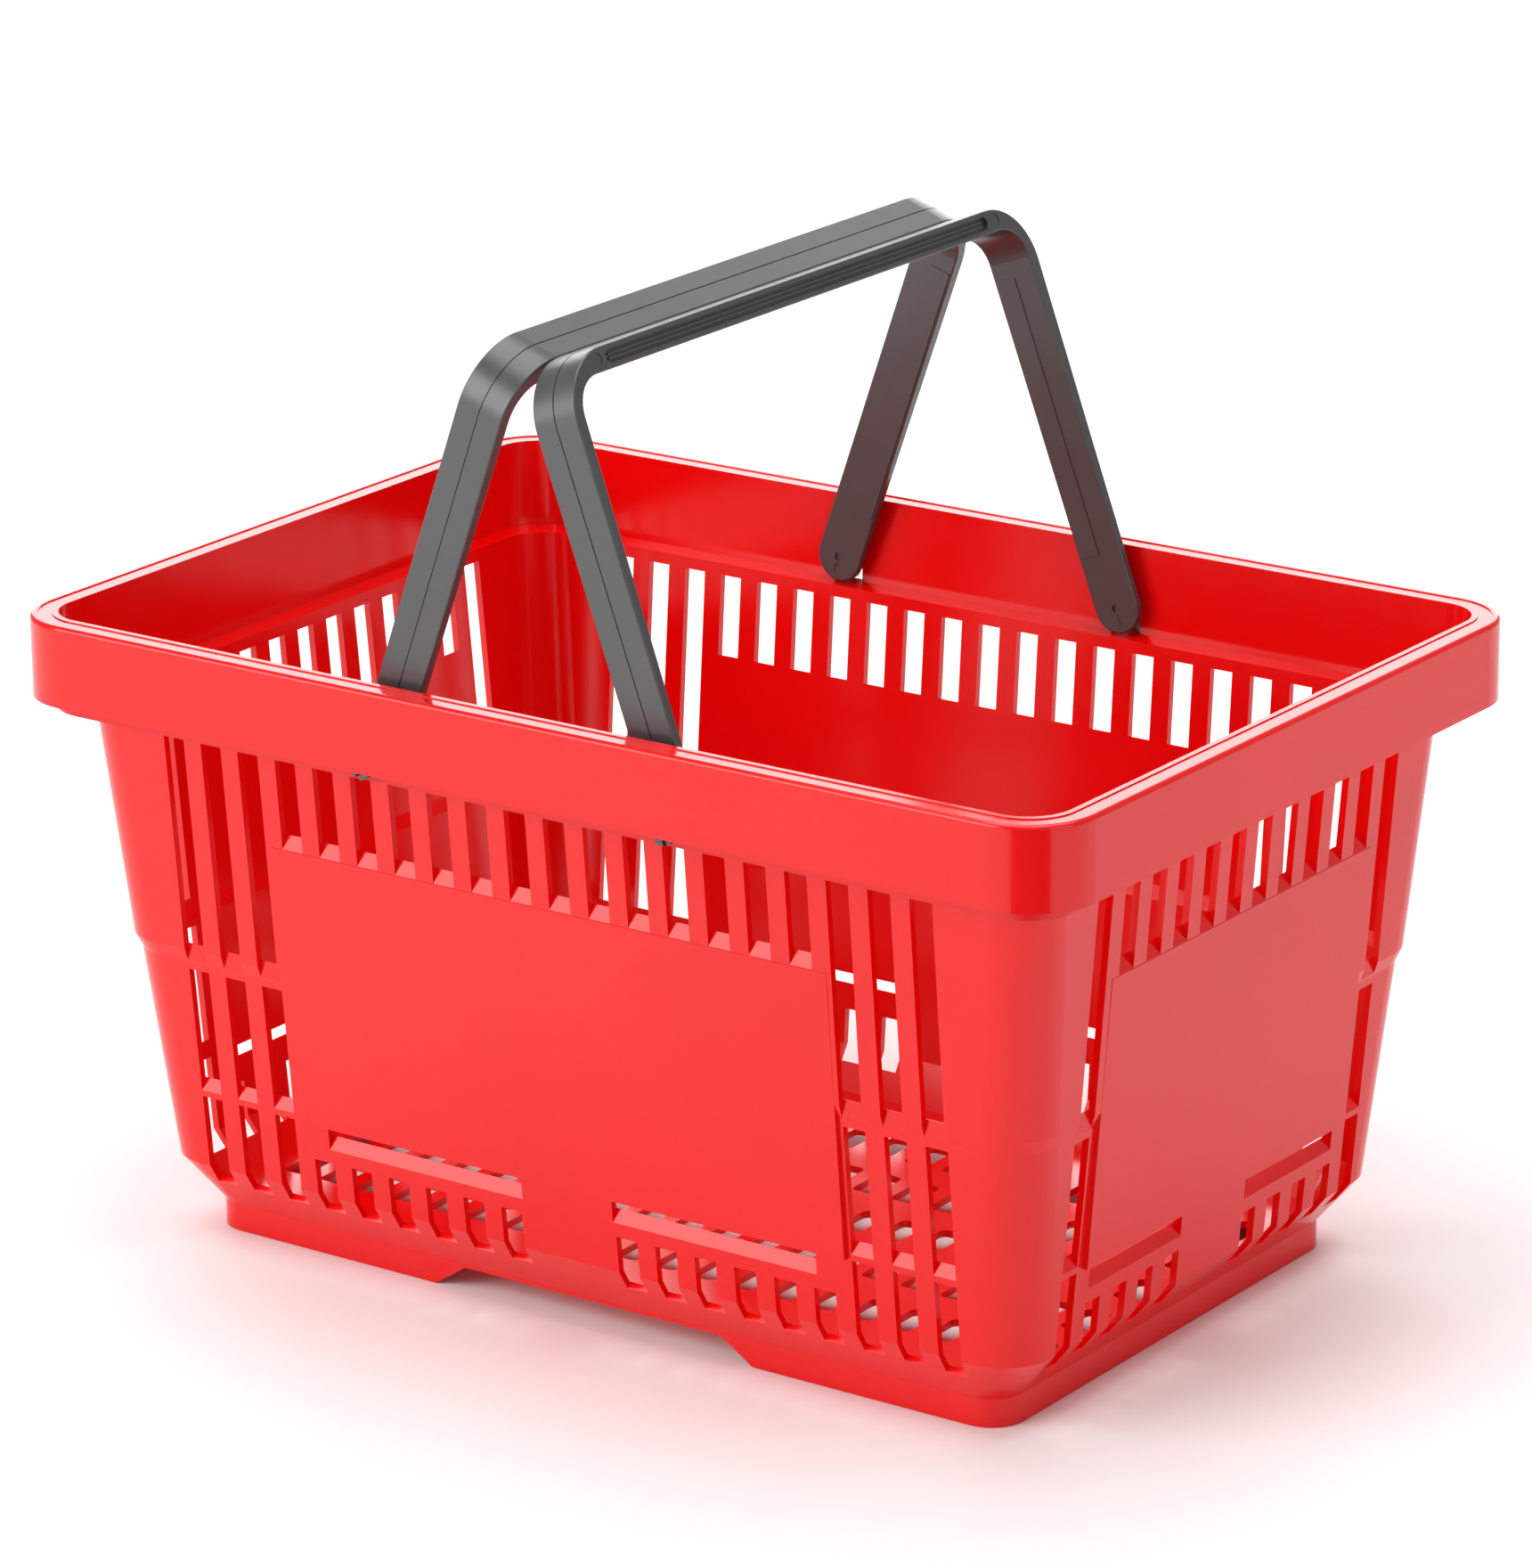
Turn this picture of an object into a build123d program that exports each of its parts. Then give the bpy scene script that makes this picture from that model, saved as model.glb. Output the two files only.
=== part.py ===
from build123d import *

import math
import os

# Two-handle moulded shopping basket: one polypropylene body and two swinging polypropylene bail handles.
# Millimetres. +Z is up, X runs along the long sides, Y across the basket.
# Origin: centre of the footprint, on the surface the basket stands on.

# ---------------------------------------------------------------- overall body
RIM_LENGTH = 430.0
RIM_WIDTH = 296.0
RIM_Z = 227.0
WALL = 2.6
CORNER_R = 18.0

# ------------------------------------------------------- rim: apron, top, skin
APRON_BOTTOM_Z = 198.0
APRON_T = 2.2
APRON_R = 25.0
RIM_TOP_T = 2.4
RIM_EDGE_R = 1.6
OPENING_INSET = 9.5
OPENING_R = 16.0
SKIN_INSET_LOW = 10.6
SKIN_T = 2.4
LEDGE_Z = 195.5
LEDGE_T = 2.4
LIP_STEP = 0.4
LIP_OUTER_INSET = 2.6
LIP_INNER_INSET = 7.6
RIM_RIB_T = 1.6
RIM_RIB_BOTTOM_Z = 210.0
RIM_RIBS_X = (-187.0, -127.0, -71.5, 0.0, 71.5, 127.0, 187.0)
RIM_RIBS_Y = (-91.5, -51.0, 0.0, 51.0, 91.5)

# ------------------ lower body: insets from the rim outline are (at the short ends, at the long sides)
FOOT_H = 10.0
FOOT_INSET = (47.5, 44.3)
FOOT_R = 13.0
CHAMFER_Z = 27.0
CHAMFER_INSET = (33.8, 33.8)
STEP_LOW_Z = 105.0
STEP_LOW_INSET = (26.2, 26.2)
STEP_HIGH_Z = 110.0
STEP_HIGH_INSET = (24.4, 24.4)
SHOULDER_INSET = (17.0, 17.0)
FLOOR_T = 2.6

# ------------------------------------------------------------ foot recesses
FOOT_GAP_H = 8.5
FOOT_GAP_HALF_LOW = 67.0
FOOT_GAP_HALF_HIGH = 54.0

# ---------------------------------------------------------- slots in the walls
PITCH = 16.2
SLOT_W = 8.8
SLOT_REACH = 12.0
SILL_OVERRUN = 0.05
SLOT_TOP_Z = 191.2
SHORT_SILL = (156.6, 162.3)
ROW_1_SILL = (105.8, 111.3)
ROW_1_SILL_DEPTH = 0.6
ROW_2_TOP_Z = 102.3
ROW_2_SILL = (56.1, 61.2)
ROW_3_TOP_Z = 53.8
LOW_SLOT_TOP_Z = 40.3
LOW_SILL = (20.0, 23.0)
HAND_SLOT_TOP_Z = 53.8
HAND_SILL = (45.4, 51.0)

LONG_SIDE_SHORT_COLUMNS = 7
LONG_SIDE_END_COLUMNS = 3
LONG_SIDE_LOW_FIRST = 1
LONG_SIDE_HAND_SLOT = (19.0, 102.5)
SHORT_SIDE_SHORT_COLUMNS = 5
SHORT_SIDE_END_COLUMNS = 1
SHORT_SIDE_LOW_FIRST = 1
SHORT_SIDE_HAND_SLOT = (20.0, 76.5)

# ----------------------------------------------- plain panels, proud of the wall
PANEL_TOP_Z = 156.3
PANEL_TOP_INSET = 20.2
PANEL_BOTTOM_Z = 54.0
PANEL_BOTTOM_INSET = 29.4
PANEL_HALF_LONG = 115.2
PANEL_HALF_SHORT = 81.0

# ------------------------------------------------------------- floor lattice
FLOOR_HOLE_X = 10.0
FLOOR_HOLE_Y = 19.0
FLOOR_HOLE_R = 2.4
FLOOR_PITCH_Y = 2 * PITCH
FLOOR_COLUMNS = 20
FLOOR_ROWS = 5

# ------------------------------------------------------------------- handles
PIVOT_X = 59.5
PIVOT_Z = 205.2
STRAP_W = 18.0
LEG_T_LOW = 3.2
LEG_T_HIGH = 5.2
GRIP_T = 8.3
LEG_FACE_Y = 134.5
HANDLE_H = 148.0
BEND_R = 22.0
INNER_BEND_R = 12.0
STRAP_EDGE_R = 0.7
REST_GAP = 0.4

SEAM_W = 0.5
SEAM_D = 0.3
GRIP_GROOVE_HALF = 111.0
GRIP_GROOVE_H = 4.6
GRIP_GROOVE_D = 1.6
GRIP_RIDGE_H = 0.6
GRIP_RIDGE_D = 0.9
GRIP_RIDGE_OFFSET = 0.8
EJECTOR_R = 2.4
EJECTOR_D = 0.25
EJECTOR_Y = 115.6
LEG_PAD_D = 0.4
LEG_PAD_BOTTOM = 20.0
LEG_PAD_TOP = 122.0
LEG_PAD_EDGE = 8.2
DIMPLE_R = 1.6
DIMPLE_D = 0.7

# ------------------------------------------------------------ handle bearings
PIN_R = 3.92
BORE_R = 4.0
WINDOW_HALF = 6.0
WINDOW_TOP_Z = 200.2
SHOULDER_R = 6.5
SHOULDER_FACE_Y = 137.1
TOGGLE_W = 7.8
TOGGLE_DOWN = 11.6
TOGGLE_UP = 4.3
TOGGLE_FACE_Y = 140.6
TOGGLE_T = 3.0
TOGGLE_SPLIT = 1.6

# Lean of each handle at rest: the inner top edges of the two grips almost touch over the middle.
HALF_STRAP = STRAP_W / 2
LEAN = math.degrees(
    math.asin((PIVOT_X - REST_GAP / 2) / math.hypot(HANDLE_H, HALF_STRAP))
    - math.atan2(HALF_STRAP, HANDLE_H)
)


def stack(*levels):
    """Solid through rounded rectangles given as (height, inset at ends, inset at sides, corner radius)."""
    sections = [
        Pos(0, 0, z) * RectangleRounded(RIM_LENGTH - 2 * ends, RIM_WIDTH - 2 * sides, radius)
        for z, ends, sides, radius in levels
    ]
    return loft(sections, ruled=True)


def thicker(inset):
    """Insets of the inner face of the wall whose outer face has these insets."""
    return [value + WALL for value in inset]


def column_centres(first, count):
    """Column positions on the common pitch, mirrored about the middle of the side."""
    half = [(first + i + 0.5) * PITCH for i in range(count)]
    return [-c for c in reversed(half)] + half


def rim_shell():
    """Hanging apron and rim top, before the opening is cut."""
    block = stack((APRON_BOTTOM_Z, 0, 0, APRON_R), (RIM_Z, 0, 0, APRON_R))
    block = fillet(block.faces().sort_by(Axis.Z)[-1].edges(), RIM_EDGE_R)
    inside_r = APRON_R - APRON_T
    block -= stack(
        (APRON_BOTTOM_Z - 1, APRON_T, APRON_T, inside_r),
        (RIM_Z - RIM_TOP_T, APRON_T, APRON_T, inside_r),
    )
    return block - (rim_dish(LIP_OUTER_INSET) - rim_dish(LIP_INNER_INSET))


def rim_dish(inset):
    """Shallow block above the rim top, whose outline follows the rim at an inset."""
    radius = APRON_R - inset
    return stack((RIM_Z - LIP_STEP, inset, inset, radius), (RIM_Z + 1, inset, inset, radius))


def skin_block():
    """Solid block whose side becomes the plain inner band behind the apron."""
    low = SKIN_INSET_LOW - SKIN_T
    high = OPENING_INSET - SKIN_T
    return stack(
        (LEDGE_Z - LEDGE_T, low, low, OPENING_R + 1),
        (RIM_Z - LIP_STEP, high, high, OPENING_R + SKIN_T),
    )


def rim_ribs():
    """Short webs across the rim channel that stiffen the apron."""
    height = RIM_Z - RIM_TOP_T / 2 - RIM_RIB_BOTTOM_Z
    mid_z = RIM_RIB_BOTTOM_Z + height / 2
    reach = OPENING_INSET - SKIN_T / 2 - APRON_T / 2
    inset = APRON_T / 2 + reach / 2
    ribs = []
    for side in (-1, 1):
        y = side * (RIM_WIDTH / 2 - inset)
        ribs += [Pos(x, y, mid_z) * Box(RIM_RIB_T, reach, height) for x in RIM_RIBS_X]
        x = side * (RIM_LENGTH / 2 - inset)
        ribs += [Pos(x, y, mid_z) * Box(reach, RIM_RIB_T, height) for y in RIM_RIBS_Y]
    return ribs


def lower_block():
    """Tapered outer form from the floor up to the shoulder, with the stacking step part way."""
    return stack(
        (FOOT_H, *FOOT_INSET, FOOT_R),
        (CHAMFER_Z, *CHAMFER_INSET, CORNER_R),
        (STEP_LOW_Z, *STEP_LOW_INSET, CORNER_R),
        (STEP_HIGH_Z, *STEP_HIGH_INSET, CORNER_R),
        (LEDGE_Z, *SHOULDER_INSET, CORNER_R),
    )


def floor_edge_inset():
    """Insets of the outer chamfer face level with the top of the floor."""
    return [inset_at(FOOT_H + FLOOR_T, along_x) for along_x in (False, True)]


def cavity():
    """Inside of the basket: tapered well, then the wider opening above the ledge."""
    inner_r = CORNER_R - WALL
    well = stack(
        (FOOT_H + FLOOR_T, *thicker(floor_edge_inset()), FOOT_R - WALL),
        (CHAMFER_Z, *thicker(CHAMFER_INSET), inner_r),
        (STEP_LOW_Z, *thicker(STEP_LOW_INSET), inner_r),
        (STEP_HIGH_Z, *thicker(STEP_HIGH_INSET), inner_r),
        (LEDGE_Z, *thicker(SHOULDER_INSET), inner_r),
    )
    opening = stack(
        (LEDGE_Z, SKIN_INSET_LOW, SKIN_INSET_LOW, OPENING_R),
        (RIM_Z + 1, OPENING_INSET, OPENING_INSET, OPENING_R),
    )
    return [well, opening]


def foot_ring():
    """Standing ring under the floor, raised in the middle of both long sides."""
    inside_r = FOOT_R - WALL
    outer = stack((0, *FOOT_INSET, FOOT_R), (FOOT_H + FLOOR_T / 2, *FOOT_INSET, FOOT_R))
    inner = stack((-1, *thicker(FOOT_INSET), inside_r), (FOOT_H + FLOOR_T, *thicker(FOOT_INSET), inside_r))
    gap = Plane.XZ * Polygon(
        (-FOOT_GAP_HALF_LOW, 0),
        (FOOT_GAP_HALF_LOW, 0),
        (FOOT_GAP_HALF_HIGH, FOOT_GAP_H),
        (-FOOT_GAP_HALF_HIGH, FOOT_GAP_H),
        align=None,
    )
    return outer - inner - extrude(gap, RIM_WIDTH / 2, both=True)


def wall_panel(half_width, along_x):
    """Plain printable panel on both walls of a pair, slightly proud of the wall."""
    half_outline = (RIM_WIDTH if along_x else RIM_LENGTH) / 2
    top = half_outline - PANEL_TOP_INSET
    bottom = half_outline - PANEL_BOTTOM_INSET
    plane = Plane.YZ if along_x else Plane.XZ
    profile = plane * Polygon(
        (-top, PANEL_TOP_Z),
        (top, PANEL_TOP_Z),
        (bottom, PANEL_BOTTOM_Z),
        (-bottom, PANEL_BOTTOM_Z),
        align=None,
    )
    return extrude(profile, half_width, both=True)


def sloped_cutter(width, top_z, sill, along_x, depth):
    """Cutter for one pair of opposite slots; each sill rises from the outer face over the given depth.

    The slope runs a little past both ends, so that none of its edges lies in a wall face.
    """
    half_outline = (RIM_WIDTH if along_x else RIM_LENGTH) / 2
    face = half_outline - inset_at(sill[0], along_x)
    extra_rise = SILL_OVERRUN * (sill[1] - sill[0]) / depth
    low = (face + SILL_OVERRUN, sill[0] - extra_rise)
    high = (face - depth - SILL_OVERRUN, sill[1] + extra_rise)
    plane = Plane.YZ if along_x else Plane.XZ
    cutter = Part()
    for side in (-1, 1):
        profile = plane * Polygon(
            (side * low[0], low[1]),
            (side * (face + SLOT_REACH), low[1]),
            (side * (face + SLOT_REACH), top_z),
            (side * (face - SLOT_REACH), top_z),
            (side * (face - SLOT_REACH), high[1]),
            (side * high[0], high[1]),
            align=None,
        )
        cutter += extrude(profile, width / 2, both=True)
    return cutter


def inset_at(z, along_x):
    """Inset of the outer wall face at a height, on a long side or at a short end."""
    levels = (
        (FOOT_H, FOOT_INSET),
        (CHAMFER_Z, CHAMFER_INSET),
        (STEP_LOW_Z, STEP_LOW_INSET),
        (STEP_HIGH_Z, STEP_HIGH_INSET),
        (LEDGE_Z, SHOULDER_INSET),
    )
    side = 1 if along_x else 0
    for (z0, i0), (z1, i1) in zip(levels, levels[1:]):
        if z <= z1:
            break
    return i0[side] + (i1[side] - i0[side]) * (z - z0) / (z1 - z0)


def slot_row(centres, top_z, sill, along_x, width=SLOT_W, depth=WALL):
    """Cutters for one row of slots at the given positions along a side."""
    cutter = sloped_cutter(width, top_z, sill, along_x, depth)
    return [(Pos(c, 0, 0) if along_x else Pos(0, c, 0)) * cutter for c in centres]


def side_slots(along_x, short_columns, end_columns, low_first, hand_slot):
    """All slots in one pair of opposite walls."""
    ends = column_centres(short_columns, end_columns)
    low = column_centres(low_first, short_columns - low_first)
    hand_centre = sum(hand_slot) / 2
    hand_width = hand_slot[1] - hand_slot[0]
    cutters = slot_row(column_centres(0, short_columns), SLOT_TOP_Z, SHORT_SILL, along_x)
    cutters += slot_row(ends, SLOT_TOP_Z, ROW_1_SILL, along_x, depth=ROW_1_SILL_DEPTH)
    cutters += slot_row(ends, ROW_2_TOP_Z, ROW_2_SILL, along_x)
    cutters += slot_row(ends, ROW_3_TOP_Z, LOW_SILL, along_x)
    cutters += slot_row(low, LOW_SLOT_TOP_Z, LOW_SILL, along_x)
    hands = (-hand_centre, hand_centre)
    cutters += slot_row(hands, HAND_SLOT_TOP_Z, HAND_SILL, along_x, hand_width)
    return cutters


def floor_holes():
    """Drain lattice through the floor."""
    grid = GridLocations(PITCH, FLOOR_PITCH_Y, FLOOR_COLUMNS, FLOOR_ROWS)
    holes = Sketch() + [loc * RectangleRounded(FLOOR_HOLE_X, FLOOR_HOLE_Y, FLOOR_HOLE_R) for loc in grid]
    return extrude(Pos(0, 0, FOOT_H - 1) * holes, FLOOR_T + 2)


def bearing_cutters():
    """Round bearing bore and the moulding window below it, for both legs of both handles."""
    outside = RIM_WIDTH / 2 - (OPENING_INSET - SKIN_T) + 1
    depth = SKIN_T + 4
    mid_y = outside - depth / 2
    window_z = (LEDGE_Z + WINDOW_TOP_Z) / 2
    window = Box(2 * WINDOW_HALF, depth, WINDOW_TOP_Z - LEDGE_Z)
    bore = Rot(90, 0, 0) * Cylinder(BORE_R, depth)
    cutters = []
    for x in (-PIVOT_X, PIVOT_X):
        for y in (-mid_y, mid_y):
            cutters += [Pos(x, y, PIVOT_Z) * bore, Pos(x, y, window_z) * window]
    return cutters


def basket_body():
    """One injection moulding: foot, floor, slotted walls, ledge and hollow rim."""
    body = rim_shell() + skin_block() + lower_block() + rim_ribs()
    body += wall_panel(PANEL_HALF_LONG, True)
    body += wall_panel(PANEL_HALF_SHORT, False)
    body -= cavity()
    body += foot_ring()
    cutters = side_slots(
        True, LONG_SIDE_SHORT_COLUMNS, LONG_SIDE_END_COLUMNS, LONG_SIDE_LOW_FIRST, LONG_SIDE_HAND_SLOT
    )
    cutters += side_slots(
        False, SHORT_SIDE_SHORT_COLUMNS, SHORT_SIDE_END_COLUMNS, SHORT_SIDE_LOW_FIRST, SHORT_SIDE_HAND_SLOT
    )
    body -= cutters
    body -= floor_holes()
    return body - bearing_cutters()


def bail(half_low, half_high, bottom, top, radius):
    """Gate outline in the handle plane with two rounded top corners, extruded to the strap width."""
    gate = Polygon((-half_low, bottom), (half_low, bottom), (half_high, top), (-half_high, top), align=None)
    gate = fillet(gate.vertices().group_by(Axis.Y)[-1], radius)
    return extrude(Plane.YZ * gate, HALF_STRAP, both=True)


def inner_leg_y(height):
    """Half span between the inner faces of the legs, which thicken towards the grip."""
    share = (height + HALF_STRAP) / (HANDLE_H - GRIP_T + HALF_STRAP)
    return LEG_FACE_Y - LEG_T_LOW - share * (LEG_T_HIGH - LEG_T_LOW)


def strap():
    """Flat strap bent round two corners, thicker along the grip, with full-round lug ends."""
    top = HANDLE_H - GRIP_T
    outer = bail(LEG_FACE_Y, LEG_FACE_Y, -HALF_STRAP, HANDLE_H, BEND_R)
    inner = bail(inner_leg_y(-HALF_STRAP), inner_leg_y(top), -HALF_STRAP, top, INNER_BEND_R)
    side_view = Circle(HALF_STRAP) + Pos(0, HANDLE_H / 2) * Rectangle(STRAP_W, HANDLE_H)
    solid = (outer - inner) & extrude(Plane.XZ * side_view, LEG_FACE_Y, both=True)
    return fillet(solid.edges(), STRAP_EDGE_R)


def seam():
    """Fine groove along the middle of the outer face, where the mould halves meet."""
    over = LEG_FACE_Y + 1
    under = LEG_FACE_Y - SEAM_D
    outer = bail(over, over, LEG_PAD_BOTTOM, HANDLE_H + 1, BEND_R + 1)
    inner = bail(under, under, 0, HANDLE_H - SEAM_D, BEND_R - SEAM_D)
    return (outer - inner) & Pos(0, 0, HANDLE_H / 2) * Box(SEAM_W, 4 * LEG_FACE_Y, 2 * HANDLE_H)


def grip_grooves():
    """Long round-ended recess in both narrow faces of the grip, with two fine ridges left standing in it."""
    mid = HANDLE_H - GRIP_T / 2
    slot = SlotOverall(2 * GRIP_GROOVE_HALF, GRIP_GROOVE_H)
    ridge = Rectangle(2 * GRIP_GROOVE_HALF - GRIP_GROOVE_H, GRIP_RIDGE_H)
    marks = Pos(-EJECTOR_Y, 0) * Circle(EJECTOR_R) + Pos(EJECTOR_Y, 0) * Circle(EJECTOR_R)
    cut = Part()
    for side in (-1, 1):
        face = Plane((side * HALF_STRAP, 0, mid), x_dir=(0, 1, 0), z_dir=(-side, 0, 0))
        recess = extrude(face * slot, GRIP_GROOVE_D)
        floor = Plane((side * (HALF_STRAP - GRIP_GROOVE_D), 0, mid), x_dir=(0, 1, 0), z_dir=(side, 0, 0))
        for offset in (-GRIP_RIDGE_OFFSET, GRIP_RIDGE_OFFSET):
            recess -= extrude(floor * Pos(0, offset) * ridge, GRIP_RIDGE_D)
        cut += recess
        cut += extrude(face * marks, EJECTOR_D)
    return cut


def leg_pad(side):
    """Raised half of the inner leg face, stopping short of the lug; on opposite halves at the two legs."""
    low = inner_leg_y(LEG_PAD_BOTTOM)
    high = inner_leg_y(LEG_PAD_TOP)
    profile = Plane.YZ * Polygon(
        (side * (low - LEG_PAD_D), LEG_PAD_BOTTOM),
        (side * (low + LEG_PAD_D), LEG_PAD_BOTTOM),
        (side * (high + LEG_PAD_D), LEG_PAD_TOP),
        (side * (high - LEG_PAD_D), LEG_PAD_TOP),
        align=None,
    )
    return extrude(profile, side * LEG_PAD_EDGE)


def lug_marks(side):
    """Moulding dimple at the pivot and the short radial line below it, on the inner face."""
    y = side * inner_leg_y(0)
    dimple = Pos(0, y, 0) * Rot(90, 0, 0) * Cylinder(DIMPLE_R, 2 * DIMPLE_D)
    line = Pos(0, y, -HALF_STRAP / 2) * Box(SEAM_W, 2 * SEAM_D, HALF_STRAP / 2)
    return dimple + line


def pivot_toggle(side):
    """Shouldered pivot pin with a split toggle head that holds behind the rim's inner skin."""
    root = LEG_FACE_Y - LEG_T_LOW / 2
    base = Plane.XZ.offset(-side * root)
    pin = extrude(base * Circle(PIN_R), -side * (TOGGLE_FACE_Y - root))
    pin += extrude(base * Circle(SHOULDER_R), -side * (SHOULDER_FACE_Y - root))
    length = TOGGLE_DOWN + TOGGLE_UP
    head = Pos(0, (TOGGLE_UP - TOGGLE_DOWN) / 2) * Rot(0, 0, 90) * SlotOverall(length, TOGGLE_W)
    toggle = extrude(Plane.XZ.offset(-side * TOGGLE_FACE_Y) * head, -side * TOGGLE_T)
    split_h = TOGGLE_DOWN - PIN_R
    split = Pos(0, side * (TOGGLE_FACE_Y + TOGGLE_T / 2), -PIN_R - split_h / 2 + 1)
    return pin + (toggle - split * Box(TOGGLE_SPLIT, TOGGLE_T, split_h + 2))


def handle():
    """One bail handle standing upright, pivot axis on the Y axis through the origin."""
    solid = strap() - seam() - grip_grooves()
    for side in (-1, 1):
        solid -= lug_marks(side)
        solid += leg_pad(side)
        solid += pivot_toggle(side)
    return solid


def write(node, shape):
    """Write one node as STEP."""
    shape.label = node
    export_step(shape, f"parts/{node}.step")


def main():
    os.makedirs("parts", exist_ok=True)
    upright = handle()
    write("basket_body", basket_body())
    write("left_handle", Pos(-PIVOT_X, 0, PIVOT_Z) * Rot(0, LEAN, 0) * upright)
    write("right_handle", Pos(PIVOT_X, 0, PIVOT_Z) * Rot(0, -LEAN, 0) * Rot(0, 0, 180) * upright)


main()
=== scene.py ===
import math

import bpy
from mathutils import Matrix, Vector


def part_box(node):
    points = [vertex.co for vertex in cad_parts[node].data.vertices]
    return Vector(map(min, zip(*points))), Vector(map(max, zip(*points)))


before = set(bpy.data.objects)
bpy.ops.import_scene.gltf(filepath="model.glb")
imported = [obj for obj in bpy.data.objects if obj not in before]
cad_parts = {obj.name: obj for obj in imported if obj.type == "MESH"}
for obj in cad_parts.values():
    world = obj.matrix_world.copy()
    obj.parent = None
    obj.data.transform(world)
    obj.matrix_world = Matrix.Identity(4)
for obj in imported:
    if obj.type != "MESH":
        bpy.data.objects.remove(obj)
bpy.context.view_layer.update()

MM = 0.001

# ------------------------------------------- moulded polypropylene, both colours
IOR_POLYPROPYLENE = 1.49
COLOUR_PATCH = 90 * MM
COLOUR_RAMP = (0.3, 0.7)
SCUFF_PATCH = 14 * MM
SCUFF_RANGE = (0.35, 0.75)
SHRINKAGE_WAVE = 38 * MM
SHRINKAGE_DEPTH = 0.25 * MM
SKIN_STRENGTH = 0.12
SKIN_DEPTH = 0.03 * MM

# ---------------------------------------------------------------------- camera
SENSOR = 36.0
LENS = 165.60
AZIMUTH = math.radians(35.556)
ELEVATION = math.radians(18.002)
ROLL = math.radians(-0.570)
CAMERA_PLACE = Vector((1342.50, -1876.86, 915.00)) * MM
CAMERA_REACH = 100.0

# ---------------- floor and flag, metres; the floor's side is in basket lengths
FLOOR_LENGTHS = 60
FLOOR_GAP = 0.2 * MM
FLOOR_ROUGHNESS = 0.9
FLOOR_MOTTLES_PER_METRE = 3.0
FLAG_WIDTH = 0.50
FLAG_HEIGHT = 0.26
FLAG_DISTANCE = 0.42
FELT_NAP = 2 * MM

# -------------- lights: name, place and (width, height) in metres, power in watts
SOFTBOXES = (
    ("front_left_softbox", (-1.3, -2.2, 1.3), (2.0, 1.8), 46),
    ("right_softbox", (2.4, -0.4, 1.0), (1.2, 1.4), 6),
    ("overhead_softbox", (0.0, 0.2, 2.4), (2.4, 2.0), 44),
    ("back_left_softbox", (-2.0, 2.8, 1.10), (3.2, 1.9), 56),
)
ROOM_STRENGTH = 0.40

basket_low, basket_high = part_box("basket_body")
basket_centre = (basket_low + basket_high) / 2
basket_length = basket_high.x - basket_low.x


# ------------------------------------------------------------- small functions
def linear(hex_colour):
    """sRGB hex to linear RGBA."""
    channels = [int(hex_colour[i:i + 2], 16) / 255 for i in (1, 3, 5)]
    curve = [c / 12.92 if c <= 0.04045 else ((c + 0.055) / 1.055) ** 2.4 for c in channels]
    return (*curve, 1.0)


def add(tree, kind, values=None, links=None):
    """Add one node, with its socket values and the links into it."""
    node = tree.nodes.new(kind)
    for name, value in (values or {}).items():
        node.inputs[name].default_value = value
    for name, source in (links or {}).items():
        tree.links.new(source, node.inputs[name])
    return node


def new_material(name):
    """Empty node material and its tree."""
    material = bpy.data.materials.new(name)
    material.use_nodes = True
    material.node_tree.nodes.clear()
    return material, material.node_tree


def set_ramp(ramp, low, high):
    """Colour both ends of a ramp from sRGB hex values."""
    ramp.color_ramp.elements[0].color = linear(low)
    ramp.color_ramp.elements[1].color = linear(high)


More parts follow.
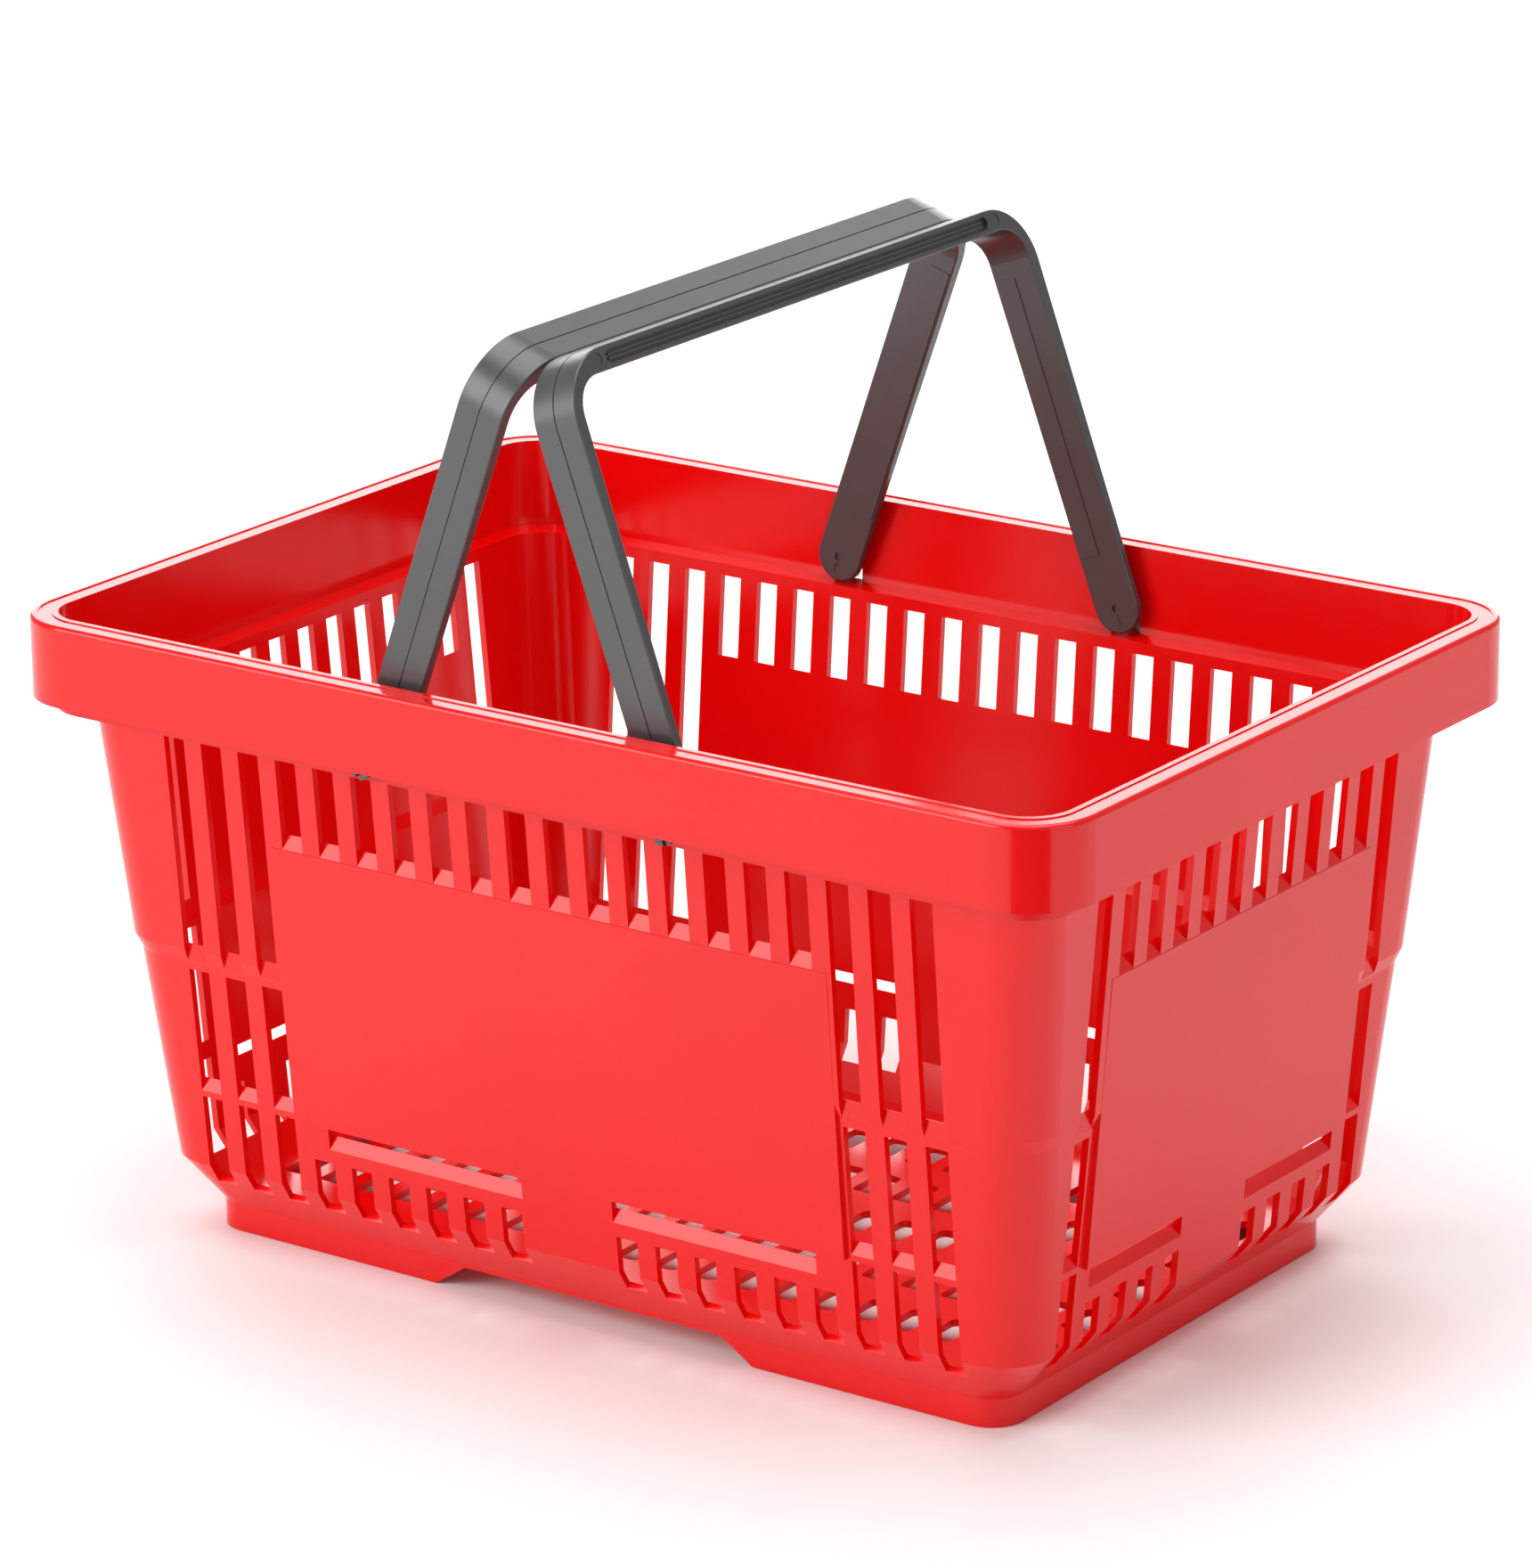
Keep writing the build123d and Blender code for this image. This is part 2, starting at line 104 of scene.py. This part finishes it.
# ------------------------------------------------------------------- materials
def moulded_plastic(name, low, high, roughness, specular, ripple, grain_mm, scuff):
    """Injection-moulded polypropylene: slow colour drift, shallow shrinkage waves, fine skin, light scuffs.

    The skin of the real moulding is finer than grain_mm, and is drawn coarser so that it shows.
    """
    material, tree = new_material(name)
    place = add(tree, "ShaderNodeTexCoord").outputs["Object"]
    drift = add(
        tree, "ShaderNodeTexNoise",
        values={"Scale": 1 / COLOUR_PATCH, "Detail": 2.0}, links={"Vector": place},
    )
    colour = add(tree, "ShaderNodeValToRGB", links={"Fac": drift.outputs["Fac"]})
    colour.color_ramp.elements[0].position, colour.color_ramp.elements[1].position = COLOUR_RAMP
    set_ramp(colour, low, high)
    wear = add(
        tree, "ShaderNodeTexNoise",
        values={"Scale": 1 / SCUFF_PATCH, "Detail": 6.0, "Roughness": 0.7}, links={"Vector": place},
    )
    gloss = add(
        tree, "ShaderNodeMapRange",
        values={
            "From Min": SCUFF_RANGE[0], "From Max": SCUFF_RANGE[1],
            "To Min": roughness, "To Max": roughness + scuff,
        },
        links={"Value": wear.outputs["Fac"]},
    )
    waves = add(
        tree, "ShaderNodeTexNoise",
        values={"Scale": 1 / SHRINKAGE_WAVE, "Detail": 1.0}, links={"Vector": place},
    )
    skin = add(
        tree, "ShaderNodeTexNoise",
        values={"Scale": 1 / (grain_mm * MM), "Detail": 3.0}, links={"Vector": place},
    )
    sink = add(
        tree, "ShaderNodeBump",
        values={"Strength": ripple, "Distance": SHRINKAGE_DEPTH}, links={"Height": waves.outputs["Fac"]},
    )
    texture = add(
        tree, "ShaderNodeBump",
        values={"Strength": SKIN_STRENGTH, "Distance": SKIN_DEPTH},
        links={"Height": skin.outputs["Fac"], "Normal": sink.outputs["Normal"]},
    )
    shader = add(
        tree, "ShaderNodeBsdfPrincipled",
        values={"IOR": IOR_POLYPROPYLENE, "Specular IOR Level": specular},
        links={
            "Base Color": colour.outputs["Color"],
            "Roughness": gloss.outputs["Result"],
            "Normal": texture.outputs["Normal"],
        },
    )
    add(tree, "ShaderNodeOutputMaterial", links={"Surface": shader.outputs["BSDF"]})
    return material


def red_polypropylene():
    """Polished-mould polypropylene: glossy, saturated, faintly wavy where the wall has shrunk."""
    return moulded_plastic(
        "moulded_red_polypropylene", low="#E20404", high="#E80505",
        roughness=0.14, specular=0.5, ripple=0.06, grain_mm=1.1, scuff=0.06,
    )


def grey_polypropylene():
    """Satin polypropylene: a finer grain and broader highlights than the basket."""
    return moulded_plastic(
        "moulded_dark_grey_polypropylene", low="#3A3A3B", high="#444445",
        roughness=0.30, specular=0.9, ripple=0.05, grain_mm=0.8, scuff=0.10,
    )


def studio_floor():
    """Painted studio floor, matt and nearly white."""
    material, tree = new_material("painted_studio_floor")
    place = add(tree, "ShaderNodeTexCoord").outputs["Object"]
    mottle = add(
        tree, "ShaderNodeTexNoise", values={"Scale": FLOOR_MOTTLES_PER_METRE}, links={"Vector": place},
    )
    colour = add(tree, "ShaderNodeValToRGB", links={"Fac": mottle.outputs["Fac"]})
    set_ramp(colour, "#F7F7F7", "#FBFBFB")
    shader = add(
        tree, "ShaderNodeBsdfPrincipled", values={"Roughness": FLOOR_ROUGHNESS},
        links={"Base Color": colour.outputs["Color"]},
    )
    add(tree, "ShaderNodeOutputMaterial", links={"Surface": shader.outputs["BSDF"]})
    return material


def black_felt():
    """Felt: dead matt, nearly black."""
    material, tree = new_material("black_felt")
    place = add(tree, "ShaderNodeTexCoord").outputs["Object"]
    nap = add(tree, "ShaderNodeTexNoise", values={"Scale": 1 / FELT_NAP}, links={"Vector": place})
    colour = add(tree, "ShaderNodeValToRGB", links={"Fac": nap.outputs["Fac"]})
    set_ramp(colour, "#050505", "#0C0C0C")
    shader = add(
        tree, "ShaderNodeBsdfPrincipled", values={"Roughness": 1.0, "Specular IOR Level": 0.0},
        links={"Base Color": colour.outputs["Color"]},
    )
    add(tree, "ShaderNodeOutputMaterial", links={"Surface": shader.outputs["BSDF"]})
    return material


# ---------------------------------------------------------------------- pieces
def finish_node(node, material):
    """Give a CAD node its material."""
    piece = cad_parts[node]
    piece.data.materials.clear()
    piece.data.materials.append(material)


# ----------------------------------------------------------------------- stage
def make_floor():
    """Plain pale floor, a hair below the foot so that the two faces don't coincide."""
    size = FLOOR_LENGTHS * basket_length
    bpy.ops.mesh.primitive_plane_add(size=size, location=(0, 0, basket_low.z - FLOOR_GAP))
    floor = bpy.context.object
    floor.name = "studio_floor"
    floor.data.materials.append(studio_floor())


def make_flag():
    """Black card before the near corner; only reflections see it, as a dark stripe on the curve."""
    corner = Vector((basket_high.x, basket_low.y, basket_low.z))
    outward = Vector((math.sin(AZIMUTH), -math.cos(AZIMUTH), 0))
    bpy.ops.mesh.primitive_plane_add(size=1.0)
    flag = bpy.context.object
    flag.name = "black_flag"
    flag.scale = (FLAG_WIDTH, FLAG_HEIGHT, 1)
    flag.location = corner + outward * FLAG_DISTANCE + Vector((0, 0, FLAG_HEIGHT / 2))
    flag.rotation_euler = (math.pi / 2, 0, AZIMUTH)
    flag.data.materials.append(black_felt())
    flag.visible_camera = False
    flag.visible_diffuse = False
    flag.visible_shadow = False


# --------------------------------------------------------------- camera, lights
def make_camera():
    """Camera looking down at the near corner of the basket."""
    back = Vector((
        math.sin(AZIMUTH) * math.cos(ELEVATION),
        -math.cos(AZIMUTH) * math.cos(ELEVATION),
        math.sin(ELEVATION),
    ))
    right = (-back).cross(Vector((0, 0, 1))).normalized()
    up = back.cross(right)
    rolled_right = math.cos(ROLL) * right + math.sin(ROLL) * up
    rolled_up = -math.sin(ROLL) * right + math.cos(ROLL) * up
    data = bpy.data.cameras.new("camera")
    data.lens = LENS
    data.sensor_width = SENSOR
    data.sensor_fit = "HORIZONTAL"
    data.clip_end = CAMERA_REACH
    camera = bpy.data.objects.new("camera", data)
    bpy.context.scene.collection.objects.link(camera)
    axes = Matrix((rolled_right, rolled_up, back)).transposed()
    camera.matrix_world = Matrix.Translation(CAMERA_PLACE) @ axes.to_4x4()
    bpy.context.scene.camera = camera


def softbox(name, place, size, power):
    """Rectangular soft light aimed at the middle of the basket."""
    data = bpy.data.lights.new(name, "AREA")
    data.shape = "RECTANGLE"
    data.size, data.size_y = size
    data.energy = power
    light = bpy.data.objects.new(name, data)
    light.location = place
    light.visible_camera = False
    light.rotation_euler = (basket_centre - Vector(place)).to_track_quat("-Z", "Y").to_euler()
    bpy.context.scene.collection.objects.link(light)


def make_lights():
    """White room with its softboxes: front left, overhead, a weak one right and a low one back left."""
    for name, place, size, power in SOFTBOXES:
        softbox(name, place, size, power)
    world = bpy.data.worlds.new("white_room")
    world.use_nodes = True
    background = world.node_tree.nodes["Background"]
    background.inputs["Color"].default_value = linear("#FFFFFF")
    background.inputs["Strength"].default_value = ROOM_STRENGTH
    bpy.context.scene.world = world
    bpy.context.scene.view_settings.view_transform = "Standard"


make_camera()
make_lights()
make_floor()
make_flag()
finish_node("basket_body", red_polypropylene())
handle_plastic = grey_polypropylene()
for handle_node in ("left_handle", "right_handle"):
    finish_node(handle_node, handle_plastic)
